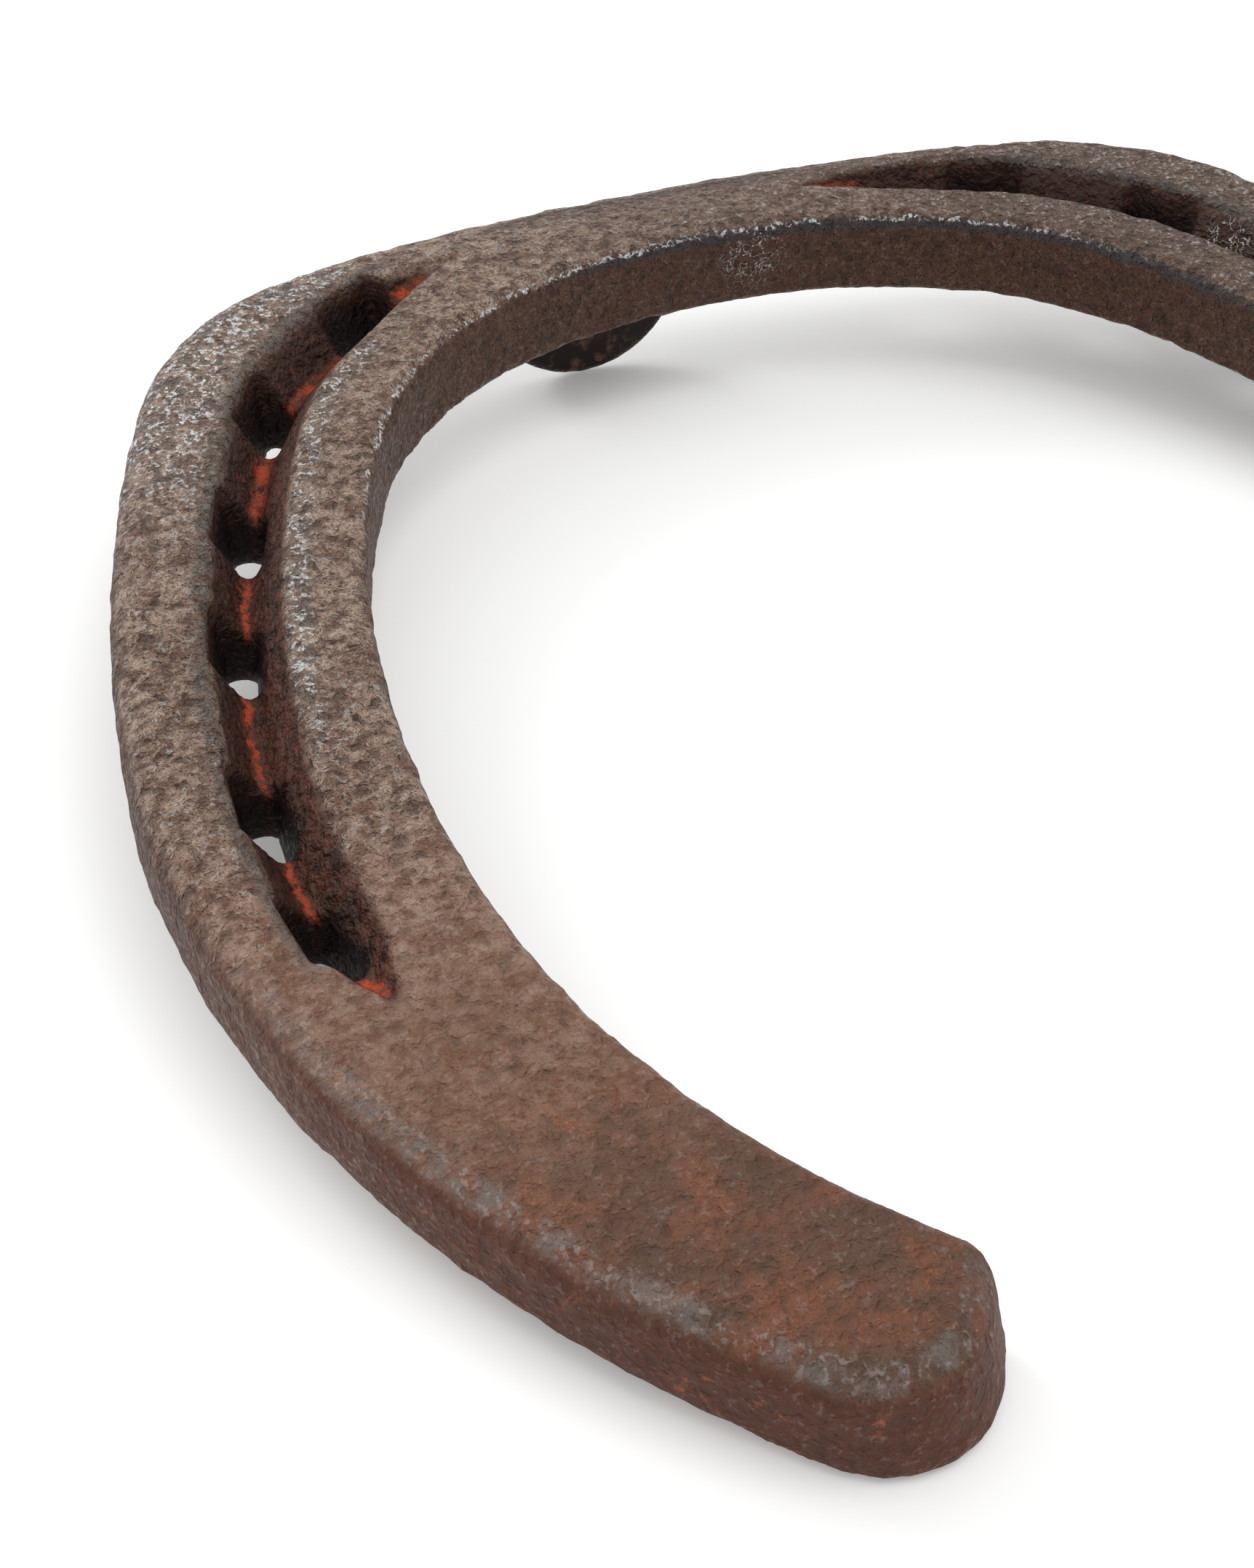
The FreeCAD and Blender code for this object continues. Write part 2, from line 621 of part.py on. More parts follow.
def check(doc, pieces):
    for thing in doc.Objects:
        if "Invalid" in thing.State or "Error" in thing.State:
            raise RuntimeError("%s failed: %s" % (thing.Name, thing.State))
    for piece in pieces:
        shape = piece.Shape
        if shape.isNull() or not shape.isValid() or len(shape.Solids) != 1:
            raise RuntimeError("%s is not one sound solid" % piece.Label)
        box = shape.optimalBoundingBox(False, False)
        print("%-10s volume %9.1f  x %.2f..%.2f  y %.2f..%.2f  z %.2f..%.2f" % (
            piece.Label, shape.Volume, box.XMin, box.XMax, box.YMin, box.YMax,
            box.ZMin, box.ZMax))


def main():
    doc = FreeCAD.newDocument("horseshoe")
    sheet = make_sheet(doc)
    bar = make_shoe_bar(doc, sheet)
    clip = make_toe_clip(doc, sheet)
    put_at_rest(sheet, bar, clip)
    doc.recompute()
    check(doc, [bar, clip])
    os.makedirs("parts", exist_ok=True)
    for piece in (bar, clip):
        piece.Shape.exportStep("parts/%s.step" % piece.Label)


main()
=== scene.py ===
import json
import math

import bpy
import numpy as np
from mathutils import Matrix, Vector, noise


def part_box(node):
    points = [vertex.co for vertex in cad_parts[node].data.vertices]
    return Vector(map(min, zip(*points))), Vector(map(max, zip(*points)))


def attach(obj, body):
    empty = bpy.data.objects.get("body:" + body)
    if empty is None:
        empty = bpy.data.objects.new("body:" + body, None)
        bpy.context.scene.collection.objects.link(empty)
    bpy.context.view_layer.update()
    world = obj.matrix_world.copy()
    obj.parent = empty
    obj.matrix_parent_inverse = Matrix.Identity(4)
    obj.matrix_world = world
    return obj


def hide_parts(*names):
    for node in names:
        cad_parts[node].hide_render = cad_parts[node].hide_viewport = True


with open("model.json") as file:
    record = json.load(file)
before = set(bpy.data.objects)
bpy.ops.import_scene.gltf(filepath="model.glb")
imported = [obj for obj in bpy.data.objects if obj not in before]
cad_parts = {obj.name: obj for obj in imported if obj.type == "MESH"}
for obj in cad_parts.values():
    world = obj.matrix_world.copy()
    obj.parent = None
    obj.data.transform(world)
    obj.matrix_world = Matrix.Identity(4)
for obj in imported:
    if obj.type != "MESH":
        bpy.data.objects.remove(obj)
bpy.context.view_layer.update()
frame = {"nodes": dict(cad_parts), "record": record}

MM = 0.001


# ------------------------------------------------------------------ the shoe's own frame
# x runs to the shoe's right branch, y from the heels to the toe (0 at the toe's outer edge),
# and z from the hoof face (0) to the ground face, all in millimetres.

MOUNTS = {mount["name"]: mount for mount in frame["record"]["mounts"]}
UP = np.array(MOUNTS["ground_face"]["axis"])
UP /= np.linalg.norm(UP)
SIDE = np.array((1.0, 0.0, 0.0))
AXES = np.array((SIDE, np.cross(UP, SIDE), UP))
HOOF_FACE = np.array(MOUNTS["hoof_face"]["pos_m"])


def points_of(mesh):
    """The mesh's points as an array with one row each."""
    flat = np.empty(len(mesh.vertices) * 3)
    mesh.vertices.foreach_get("co", flat)
    return flat.reshape(-1, 3)


def in_shoe_axes(points):
    """Points in metres, turned to the shoe's axes, in millimetres from the hoof face mount."""
    return (points - HOOF_FACE) @ AXES.T / MM


TOE_EDGE = in_shoe_axes(points_of(frame["nodes"]["shoe_bar"].data))[:, 1].max()
SHIFT = np.array((HOOF_FACE[0] / MM, -TOE_EDGE, 0.0))
THICKNESS = in_shoe_axes(np.array(MOUNTS["ground_face"]["pos_m"]))[2]


def to_shoe(points):
    """Points from the part's frame in metres to the shoe's frame in millimetres."""
    return in_shoe_axes(points) + SHIFT


def from_shoe(points):
    """Points from the shoe's frame in millimetres back to the part's frame in metres."""
    return (points - SHIFT) * MM @ AXES + HOOF_FACE


# ------------------------------------------------------------------ camera, floor and light

AIM = (-28.81, -0.42, 0.0)     # on the floor, mm
CAMERA_DISTANCE = 178.68       # mm
CAMERA_AZIMUTH = 22.508        # degrees, as are the next two
CAMERA_ELEVATION = 38.496
CAMERA_ROLL = -0.17
LENS = 55.1                    # mm, as is the sensor
SENSOR = 36.0


def make_camera():
    """A close view from above and behind the left heel, towards the toe."""
    azimuth = math.radians(CAMERA_AZIMUTH)
    elevation = math.radians(CAMERA_ELEVATION)
    ahead = Vector((math.sin(azimuth) * math.cos(elevation),
                    math.cos(azimuth) * math.cos(elevation), -math.sin(elevation)))
    data = bpy.data.cameras.new("camera")
    data.lens = LENS
    data.sensor_width = SENSOR
    data.clip_start = NEAREST_SEEN
    data.clip_end = FARTHEST_SEEN
    camera = bpy.data.objects.new("camera", data)
    roll = Matrix.Rotation(math.radians(CAMERA_ROLL), 3, "Z")
    turn = ahead.to_track_quat("-Z", "Y").to_matrix() @ roll
    place = Matrix.Translation(Vector(AIM) * MM - ahead * CAMERA_DISTANCE * MM)
    camera.matrix_world = place @ turn.to_4x4()
    bpy.context.scene.collection.objects.link(camera)
    bpy.context.scene.camera = camera


NEAREST_SEEN = 0.01
FARTHEST_SEEN = 20.0
FLOOR_REACH = 4.0
FLOOR_WHITE = (0.76, 0.76, 0.752, 1.0)
FLOOR_ROUGHNESS = 0.9
FLOOR_GLOSS = 0.1
FLOOR_GLOW = 0.225
SKY_FRONT = 0.84
SKY_BACK = 1.16
KEY_PLACE = (0.45, -0.40, 1.60)
KEY_SIZE = 1.0
KEY_POWER = 8.0
BACK_PLACE = (-0.90, 1.60, 1.10)
BACK_SIZE = 0.9
BACK_POWER = 15.0


def make_lamp(name, place, size, power):
    """A square soft box that faces the shoe."""
    data = bpy.data.lights.new(name, "AREA")
    data.size = size
    data.energy = power
    lamp = bpy.data.objects.new(name, data)
    lamp.location = place
    lamp.rotation_euler = (-Vector(place)).to_track_quat("-Z", "Y").to_euler()
    bpy.context.scene.collection.objects.link(lamp)


def make_studio():
    """A plain pale floor, which glows faintly to keep the paper white, under a bright sky, with
    a high soft box and a low one behind the toe."""
    quarters = ((-1, -1), (1, -1), (1, 1), (-1, 1))
    corners = [(x * FLOOR_REACH, y * FLOOR_REACH, 0.0) for x, y in quarters]
    mesh = bpy.data.meshes.new("floor")
    mesh.from_pydata(corners, [], [(0, 1, 2, 3)])
    floor = bpy.data.objects.new("floor", mesh)
    bpy.context.scene.collection.objects.link(floor)
    paper = bpy.data.materials.new("floor_paper")
    paper.use_nodes = True
    shader = paper.node_tree.nodes["Principled BSDF"]
    shader.inputs["Base Color"].default_value = FLOOR_WHITE
    shader.inputs["Roughness"].default_value = FLOOR_ROUGHNESS
    shader.inputs["Specular IOR Level"].default_value = FLOOR_GLOSS
    shader.inputs["Emission Color"].default_value = FLOOR_WHITE
    shader.inputs["Emission Strength"].default_value = FLOOR_GLOW
    mesh.materials.append(paper)
    sky = bpy.data.worlds.new("sky")
    sky.use_nodes = True
    nodes, links = sky.node_tree.nodes, sky.node_tree.links
    split = nodes.new("ShaderNodeSeparateXYZ")
    links.new(nodes.new("ShaderNodeTexCoord").outputs["Generated"], split.inputs[0])
    grade = nodes.new("ShaderNodeMapRange")
    links.new(split.outputs["Y"], grade.inputs["Value"])
    grade.inputs["From Min"].default_value = -1.0
    grade.inputs["To Min"].default_value = SKY_FRONT
    grade.inputs["To Max"].default_value = SKY_BACK
    links.new(grade.outputs["Result"], nodes["Background"].inputs["Strength"])
    nodes["Background"].inputs["Color"].default_value = (1.0, 1.0, 1.0, 1.0)
    bpy.context.scene.world = sky
    bpy.context.scene.view_settings.view_transform = "Standard"
    make_lamp("key", KEY_PLACE, KEY_SIZE, KEY_POWER)
    make_lamp("back", BACK_PLACE, BACK_SIZE, BACK_POWER)


# ------------------------------------------------------------------ work on a mesh's points

def ease(values, low, high, least=0.0):
    """From least below low to 1 above high, smoothly. Where low is above high, it falls instead."""
    share = np.clip((values - low) / (high - low), 0.0, 1.0)
    return least + (1.0 - least) * share * share * (3.0 - 2.0 * share)


def smoothed(points, edges, rounds):
    """The points after that many rounds, in each of which a point moves to its neighbours' middle."""
    first, second = edges.T
    count = len(points)
    neighbours = np.bincount(edges.ravel(), minlength=count)[:, None]
    for _ in range(rounds):
        total = np.empty_like(points)
        for axis in range(3):
            total[:, axis] = (np.bincount(first, points[second, axis], count)
                              + np.bincount(second, points[first, axis], count))
        points = 0.5 * (points + total / neighbours)
    return points


WAVE_STEP = (17.3, 5.1, 29.7)   # from one seed's waves to the next's
PIT_STEP = (11.9, 23.3, 3.7)    # from one seed's pits to the next's
WAVE_FALL = 0.8                 # how fast the finer waves get lower
WAVE_RATIO = 2.0                # how much shorter the waves get from octave to octave
PIT_RIM = (0.5, 0.05)           # a pit's rim and its floor, in spacings from its middle


def wavy(points, wavelength, octaves, seed):
    """Smooth random heights, about -1 to 1, with bumps about one wavelength long."""
    start = Vector([seed * step for step in WAVE_STEP])
    return np.array([noise.fractal(Vector(p) / wavelength + start, WAVE_FALL, WAVE_RATIO, octaves)
                     for p in points])


def pitted(points, spacing, seed):
    """1 in the middle of each pit and 0 between the pits."""
    start = Vector([seed * step for step in PIT_STEP])
    reach = np.array([noise.voronoi(Vector(p) / spacing + start)[0][0] for p in points])
    return ease(reach, *PIT_RIM)


def finely_meshed(node, voxel):
    """A copy of a CAD node's mesh in the shoe's frame, as even small faces."""
    source = frame["nodes"][node].data.copy()
    source.vertices.foreach_set("co", to_shoe(points_of(source)).ravel())
    holder = bpy.data.objects.new("holder", source)
    bpy.context.scene.collection.objects.link(holder)
    remesh = holder.modifiers.new("remesh", "REMESH")
    remesh.mode = "VOXEL"
    remesh.voxel_size = voxel
    bpy.context.view_layer.update()
    ready = holder.evaluated_get(bpy.context.evaluated_depsgraph_get())
    mesh = bpy.data.meshes.new_from_object(ready)
    bpy.data.objects.remove(holder)
    bpy.data.meshes.remove(source)
    return mesh


def normals_of(mesh):
    """The direction out of the surface at each point."""
    flat = np.empty(len(mesh.vertices) * 3)
    mesh.vertex_normals.foreach_get("vector", flat)
    return flat.reshape(-1, 3)


def edges_of(mesh):
    """The two point numbers of each edge."""
    flat = np.empty(len(mesh.edges) * 2, dtype=np.int64)
    mesh.edges.foreach_get("vertices", flat)
    return flat.reshape(-1, 2)


def set_points(mesh, points):
    """Moves the mesh's points."""
    mesh.vertices.foreach_set("co", points.ravel())
    mesh.update()


def mark(mesh, name, values):
    """Keeps one number for each point, for the material to read."""
    layer = mesh.attributes.new(name, "FLOAT", "POINT")
    layer.data.foreach_set("value", values.astype(np.float32))


def kept_in_box(points, node):
    """The points, in metres, held inside a CAD node's box."""
    low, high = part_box(node)
    return np.clip(points, np.array(low), np.array(high))


def make_piece(name, mesh, node, material):
    """The finished piece that stands for a CAD node."""
    mesh.name = name
    mesh.materials.clear()
    mesh.materials.append(material)
    mesh.shade_smooth()
    piece = bpy.data.objects.new(name, mesh)
    bpy.context.scene.collection.objects.link(piece)
    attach(piece, "root")
    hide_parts(node)
    return piece


# ------------------------------------------------------------------ the crease's line

PLAN_MIDDLE = np.array((0.0, -62.0))
HEEL_ANGLE = 2.6           # beyond the heel's end
CREASE_BEHIND_TOE = 6.3    # how far behind the toe's outer edge its line passes
NAILS_OUTSIDE = 1.0        # how far the nail holes stand outside the crease's line
FLOOR_OUTSIDE = 0.4        # and the crease's floor


def around(points):
    """Each point's angle from the toe and its distance from the middle of the shoe's plan."""
    away = points[:, :2] - PLAN_MIDDLE
    return np.arctan2(np.abs(away[:, 0]), away[:, 1]), np.hypot(away[:, 0], away[:, 1])


def hole_places(side=""):
    """The nail holes' middles at the hoof face, on both branches or on one."""
    wanted = "nail_hole_" + side
    places = [mount["pos_m"] for name, mount in MOUNTS.items() if name.startswith(wanted)]
    return to_shoe(np.array(places))


def crease_line():
    """The line of nail holes, as angles from the toe and distances from the plan's middle. It
    starts at the toe, and runs on past the last hole to the heel."""
    angle, distance = around(hole_places())
    order = np.argsort(angle)
    angle, distance = angle[order], distance[order]
    slope = (distance[-1] - distance[-3]) / (angle[-1] - angle[-3])
    at_toe = NAILS_OUTSIDE - CREASE_BEHIND_TOE - PLAN_MIDDLE[1]
    at_heel = distance[-1] + slope * (HEEL_ANGLE - angle[-1])
    return (0.0, *angle, HEEL_ANGLE), (at_toe, *distance, at_heel)


LINE_ANGLES, LINE_DISTANCES = crease_line()


def beside_crease(points):
    """How far each point lies outside the crease's line, or inside it where negative."""
    angle, distance = around(points)
    return distance + NAILS_OUTSIDE - np.interp(angle, LINE_ANGLES, LINE_DISTANCES)


# ------------------------------------------------------------------ materials

class Surface:
    """One node material, built up step by step. Its lengths are in millimetres."""

    def __init__(self, name):
        self.material = bpy.data.materials.new(name)
        self.material.use_nodes = True
        self.tree = self.material.node_tree
        self.shader = self.tree.nodes["Principled BSDF"]
        place = self.add("ShaderNodeVectorMath", operation="SCALE")
        self.feed(place.inputs[0], self.add("ShaderNodeTexCoord").outputs["Object"])
        self.feed(place.inputs["Scale"], 1 / MM)
        self.place = place.outputs[0]

    def add(self, kind, **settings):
        """A new node of a kind, with its settings."""
        node = self.tree.nodes.new(kind)
        for name, value in settings.items():
            setattr(node, name, value)
        return node

    def feed(self, socket, value):
        """Links another node's output to the socket, or sets the socket's own value."""
        if isinstance(value, bpy.types.NodeSocket):
            self.tree.links.new(value, socket)
        else:
            socket.default_value = value

    def mark(self, name):
        """One of the numbers kept on the mesh's points."""
        return self.add("ShaderNodeAttribute", attribute_name=name).outputs["Fac"]

    def noise(self, wavelength, detail, roughness, distortion=0.0):
        """A noise from 0 to 1, with its middle at 0.5 and lumps about one wavelength across."""
        node = self.add("ShaderNodeTexNoise")
        self.feed(node.inputs["Vector"], self.place)
        self.feed(node.inputs["Scale"], 1 / wavelength)
        self.feed(node.inputs["Detail"], detail)
        self.feed(node.inputs["Roughness"], roughness)
        self.feed(node.inputs["Distortion"], distortion)
        return node.outputs["Fac"]

    def ease(self, value, low, high, start=0.0, end=1.0):
        """From start to end as the value goes from low to high."""
        node = self.add("ShaderNodeMapRange", interpolation_type="SMOOTHSTEP")
        falls = low > high
        self.feed(node.inputs["Value"], value)
        self.feed(node.inputs["From Min"], high if falls else low)
        self.feed(node.inputs["From Max"], low if falls else high)
        self.feed(node.inputs["To Min"], end if falls else start)
        self.feed(node.inputs["To Max"], start if falls else end)
        return node.outputs["Result"]

    def from_to(self, mark, start, end):
        """From start where the mark is 0 to end where it is 1."""
        return self.ease(mark, 0.0, 1.0, start, end)

    def centred(self, value):
        """The value less a half, so that a noise runs equally far below and above 0."""
        return self.compute("SUBTRACT", value, 0.5)

    def near(self, value, place, reach, soft):
        """1 where the value is less than reach away from the place, fading to 0 over soft more."""
        away = self.compute("ABSOLUTE", self.compute("SUBTRACT", value, place), 0.0)
        return self.ease(away, reach + soft, reach)

    def compute(self, operation, first, second):
        """The result of one arithmetic operation on two values."""
        node = self.add("ShaderNodeMath", operation=operation)
        self.feed(node.inputs[0], first)
        self.feed(node.inputs[1], second)
        return node.outputs["Value"]

    def times(self, *values):
        """All the values multiplied together."""
        result = values[0]
        for value in values[1:]:
            result = self.compute("MULTIPLY", result, value)
        return result

    def over(self, below, colour, share, strength=None):
        """A colour laid over another, covering it by a share of 0 to 1, times a strength."""
        if strength is not None:
            share = self.times(share, strength)
        node = self.add("ShaderNodeMix", data_type="RGBA")
        sockets = {socket.identifier: socket for socket in node.inputs}
        self.feed(sockets["Factor_Float"], share)
        self.feed(sockets["A_Color"], below)
        self.feed(sockets["B_Color"], colour)
        return next(socket for socket in node.outputs if socket.identifier == "Result_Color")

    def roughness(self, value):
        """Gives the surface its roughness."""
        self.feed(self.shader.inputs["Roughness"], value)

    def colour(self, value):
        """Gives the surface its colour."""
        self.feed(self.shader.inputs["Base Color"], value)

    def bump(self, height, distance, below=None):
        """A bump of a height, on top of another bump where there is one below."""
        node = self.add("ShaderNodeBump")
        self.feed(node.inputs["Height"], height)
        self.feed(node.inputs["Distance"], distance * MM)
        self.feed(node.inputs["Strength"], 1.0)
        if below is not None:
            self.feed(node.inputs["Normal"], below)
        return node.outputs["Normal"]


DARK_SCALE_AND_SHADE = (0.026, 0.015, 0.010, 1.0)
BROWN_RUST = (0.152, 0.080, 0.051, 1.0)
GREY_BROWN = (0.430, 0.310, 0.236, 1.0)
TOE_BROWN = (0.125, 0.076, 0.054, 1.0)
WALL_BROWN = (0.076, 0.030, 0.017, 1.0)
BACK_RUST = (0.130, 0.055, 0.031, 1.0)
HEEL_RUST = (0.152, 0.054, 0.027, 1.0)
HEEL_BROWN = (0.086, 0.043, 0.027, 1.0)
HEEL_WALL = (0.070, 0.020, 0.010, 1.0)
RED_RUST = (0.145, 0.036, 0.018, 1.0)
ORANGE_RUST = (0.330, 0.085, 0.028, 1.0)
BRIGHT_ORANGE = (0.420, 0.052, 0.014, 1.0)
WORN_AND_GLINT_GREY = (0.350, 0.338, 0.325, 1.0)
SCUFF_AND_SHEEN_GREY = (0.160, 0.146, 0.136, 1.0)
GLINT_AND_SCRATCH_WHITE = (0.700, 0.715, 0.720, 1.0)
BLUE_BLACK = (0.040, 0.039, 0.042, 1.0)
CREASE_BROWN = (0.075, 0.027, 0.016, 1.0)
CREASE_DARK = (0.022, 0.008, 0.005, 1.0)
HOLE_SHADE_BLACK = (0.005, 0.002, 0.002, 1.0)
CLIP_DARK = (0.012, 0.006, 0.004, 1.0)
WARM_TINT = (1.0, 0.85, 0.75, 1.0)


# Where a coat of colour begins and where it is full, in the noise that breaks it up, which
# runs from 0 to 1. Where the first number is the larger, the coat lies in the noise's hollows.
BROWN_PATCHES = (0.38, 0.62)
BROWN_CLOUDS = (0.42, 0.66)
HEEL_CLOUDS = (0.40, 0.60)
HEEL_PATCHES = (0.44, 0.60)
WALL_PATCHES = (0.50, 0.68)
RED_SPECKS = (0.56, 0.70)
DARK_HOLLOWS = (0.50, 0.32)
DARK_GRAIN = (0.43, 0.30)
EMBER_PATCHES = (0.56, 0.68)
EMBER_CLOUDS = (0.52, 0.42)
CREST_FLECKS = (0.54, 0.64)
CREST_LUMPS = (0.46, 0.56)
SCUFF_PATCHES = (0.38, 0.56)
SCUFF_BLOTCHES = (0.34, 0.56)
GLINT_FLECKS = (0.51, 0.59)
GLINT_LUMPS = (0.42, 0.52)
LIP_BLOTCHES = (0.66, 0.42)
RIM_FLECKS = (0.48, 0.55)
RIM_PATCHES = (0.42, 0.52)
CREASE_PATCHES = (0.42, 0.62)
CREASE_SPECKS = (0.54, 0.68)
SEAM_BREAKS = (0.40, 0.54)
GLOSS_FLECKS = (0.40, 0.65)

GLINTS_THIN_OUT = (0.1, 0.9)     # of the back mark
HOLE_SIDE = (0.6, 1.4)           # out from the crease's line, to its darker side, mm
FLOOR_DEPTH = (0.7, 1.6)         # below which the orange seam lies, mm
SOOT_AND_SHADE_BAND = (0.85, 0.25, 0.45)   # its middle's depth, half its width and its blur, mm
RIM_LINE = (0.50, 0.06, 0.18)    # the same
THIN_SEAM = (0.10, 0.35)         # half its width and its blur, mm
THICK_SEAM = (0.25, 0.60)
SCRATCH_LINE = (0.5, 0.004, 0.016)   # its middle, half its width and its blur, in a noise
EDGE_WOBBLE = 1.2                # how far the soot and the rim's line stray, mm
SEAM_WANDER = 2.0                # how far the orange seam strays, mm
BAR_GLOSS = 0.3
BAR_ROUGHNESS = (0.60, 0.36)     # between the flecks and on them
HEEL_DULLNESS = 0.15             # how far the heels' flecks are dulled
CALM = 0.4                       # share of the bump that is left at the back and in the crease
GRAIN_HEIGHT = 0.65              # of the bump, mm
LUMP_HEIGHT = 1.8


def bar_steel():
    """Rusted, pitted bar: grey-brown on its faces, redder at the heels, orange in the crease, with
    painted shade in its hollows, holes, walls and crease and painted glints on its rims and lumps.
    """
    s = Surface("bar_rust")
    heel, back, toe, wall, front = (s.mark(name) for name in ("heel", "back", "toe", "wall", "front"))
    crease, lip, rim, soot_and_shade, scuff_and_glint = (s.mark(name) for name in ("crease", "lip", "rim", "soot_and_shade", "scuff_and_glint"))
    hole_shade, scratched, left = s.mark("hole_shade"), s.mark("scratched"), s.mark("left")
    beside, depth = s.mark("beside"), s.mark("depth")
    cloud = s.noise(wavelength=6.0, detail=4.0, roughness=0.6, distortion=0.5)
    patch = s.noise(wavelength=3.0, detail=6.0, roughness=0.72, distortion=1.0)
    blotch = s.noise(wavelength=1.5, detail=6.0, roughness=0.65, distortion=0.4)
    lumps = s.noise(wavelength=0.95, detail=3.0, roughness=0.5, distortion=0.3)
    speck = s.noise(wavelength=0.9, detail=5.0, roughness=0.7, distortion=0.8)
    fleck = s.noise(wavelength=0.42, detail=2.0, roughness=0.55)
    grain = s.noise(wavelength=0.36, detail=4.0, roughness=0.6)

    face = s.over(GREY_BROWN, BROWN_RUST, s.ease(blotch, *BROWN_PATCHES))
    face = s.over(face, BROWN_RUST, s.ease(cloud, *BROWN_CLOUDS), strength=0.4)
    face = s.over(face, TOE_BROWN, toe, strength=0.9)
    face = s.over(face, BACK_RUST, back, strength=0.72)
    aged = s.over(HEEL_RUST, HEEL_BROWN, s.ease(cloud, *HEEL_CLOUDS))
    aged = s.over(aged, HEEL_BROWN, s.ease(patch, *HEEL_PATCHES), strength=0.6)
    face = s.over(face, aged, heel, strength=0.95)
    # steep walls are darker than the faces: partly their own rust, partly painted shade
    side = s.over(HEEL_WALL, BACK_RUST, s.ease(patch, *WALL_PATCHES, end=0.7))
    face = s.over(face, s.over(WALL_BROWN, side, back), wall, strength=0.9)
    face = s.over(face, RED_RUST, s.ease(speck, *RED_SPECKS), strength=0.6)
    # dark scale in the lumps' and grain's hollows, partly painted shade
    pit_scale_and_shade = s.from_to(back, 0.65, 0.35)
    face = s.over(face, DARK_SCALE_AND_SHADE, s.times(s.ease(lumps, *DARK_HOLLOWS), pit_scale_and_shade))
    face = s.over(face, DARK_SCALE_AND_SHADE, s.times(s.ease(grain, *DARK_GRAIN), s.from_to(back, 0.55, 0.30)))
    embers = s.times(s.ease(patch, *EMBER_PATCHES), s.ease(cloud, *EMBER_CLOUDS))
    face = s.over(face, ORANGE_RUST, s.times(embers, heel), strength=0.9)
    # light flecks on the lumps' crests: worn high spots and painted glints
    crest_wear_and_glints = s.times(s.ease(fleck, *CREST_FLECKS), s.ease(lumps, *CREST_LUMPS))
    bare_and_glinting = s.from_to(s.compute("MAXIMUM", back, wall), 0.80, 0.12)
    face = s.over(face, WORN_AND_GLINT_GREY, s.times(crest_wear_and_glints, bare_and_glinting))
    # scuffed steel, partly painted sheen, with painted glints on its lumps
    worn = s.times(scuff_and_glint, s.ease(patch, *SCUFF_PATCHES), s.ease(blotch, *SCUFF_BLOTCHES))
    face = s.over(face, SCUFF_AND_SHEEN_GREY, worn, strength=0.6)
    few = s.ease(back, *GLINTS_THIN_OUT, start=0.95, end=0.08)
    sparkle = s.times(s.ease(fleck, *GLINT_FLECKS), s.ease(lumps, *GLINT_LUMPS), few)
    face = s.over(face, GLINT_AND_SCRATCH_WHITE, s.times(scuff_and_glint, sparkle))
    across = s.compute("ADD", depth, s.times(s.centred(blotch), EDGE_WOBBLE))
    # soot and painted shade in a dark band under the toe's inner rim
    face = s.over(face, BLUE_BLACK, s.times(soot_and_shade, s.near(across, *SOOT_AND_SHADE_BAND)), strength=0.8)
    face = s.over(face, BLUE_BLACK, s.times(lip, s.ease(blotch, *LIP_BLOTCHES)), strength=0.7)
    # a broken painted highlight line along the toe's inner rim
    broken = s.times(s.ease(fleck, *RIM_FLECKS), s.ease(patch, *RIM_PATCHES))
    face = s.over(face, GLINT_AND_SCRATCH_WHITE, s.times(rim, s.near(across, *RIM_LINE), broken))
    strokes = s.noise(wavelength=0.8, detail=2.0, roughness=0.5, distortion=0.6)
    scratch = s.times(scratched, s.from_to(s.near(strokes, *SCRATCH_LINE), 0.0, 0.7))
    face = s.over(face, GLINT_AND_SCRATCH_WHITE, scratch)

    # the crease's own darker rust, with painted shade, darkest on the nail holes' side
    inside = s.over(CREASE_BROWN, CREASE_DARK, s.ease(blotch, *CREASE_PATCHES))
    inside = s.over(inside, CREASE_DARK, s.ease(beside, *HOLE_SIDE), strength=0.8)
    inside = s.over(inside, RED_RUST, s.ease(speck, *CREASE_SPECKS), strength=0.6)
    wander = s.compute("ADD", beside, s.times(s.centred(patch), SEAM_WANDER))
    thin = s.near(wander, FLOOR_OUTSIDE, *THIN_SEAM)
    thick = s.near(wander, FLOOR_OUTSIDE, *THICK_SEAM)
    seam = s.compute("MAXIMUM", thin, s.times(thick, front))
    whole = s.ease(blotch, *SEAM_BREAKS, start=0.15, end=0.95)
    seam = s.times(seam, left, s.ease(depth, *FLOOR_DEPTH), whole)
    inside = s.over(inside, BRIGHT_ORANGE, seam)
    # painted shade: the nail holes and the crease's bottom near black
    inside = s.over(inside, HOLE_SHADE_BLACK, hole_shade, strength=0.95)
    inside = s.over(inside, GLINT_AND_SCRATCH_WHITE, scratch)
    s.colour(s.over(face, inside, crease))

    dulled = s.compute("SUBTRACT", fleck, s.times(heel, HEEL_DULLNESS))
    s.roughness(s.ease(dulled, *GLOSS_FLECKS, *BAR_ROUGHNESS))
    s.feed(s.shader.inputs["Specular IOR Level"], BAR_GLOSS)
    s.feed(s.shader.inputs["Specular Tint"], WARM_TINT)
    calm = s.from_to(s.compute("MAXIMUM", back, crease), 1.0, CALM)
    fine = s.bump(s.times(s.centred(grain), calm), GRAIN_HEIGHT)
    s.feed(s.shader.inputs["Normal"], s.bump(s.times(s.centred(lumps), calm), LUMP_HEIGHT, fine))
    return s.material


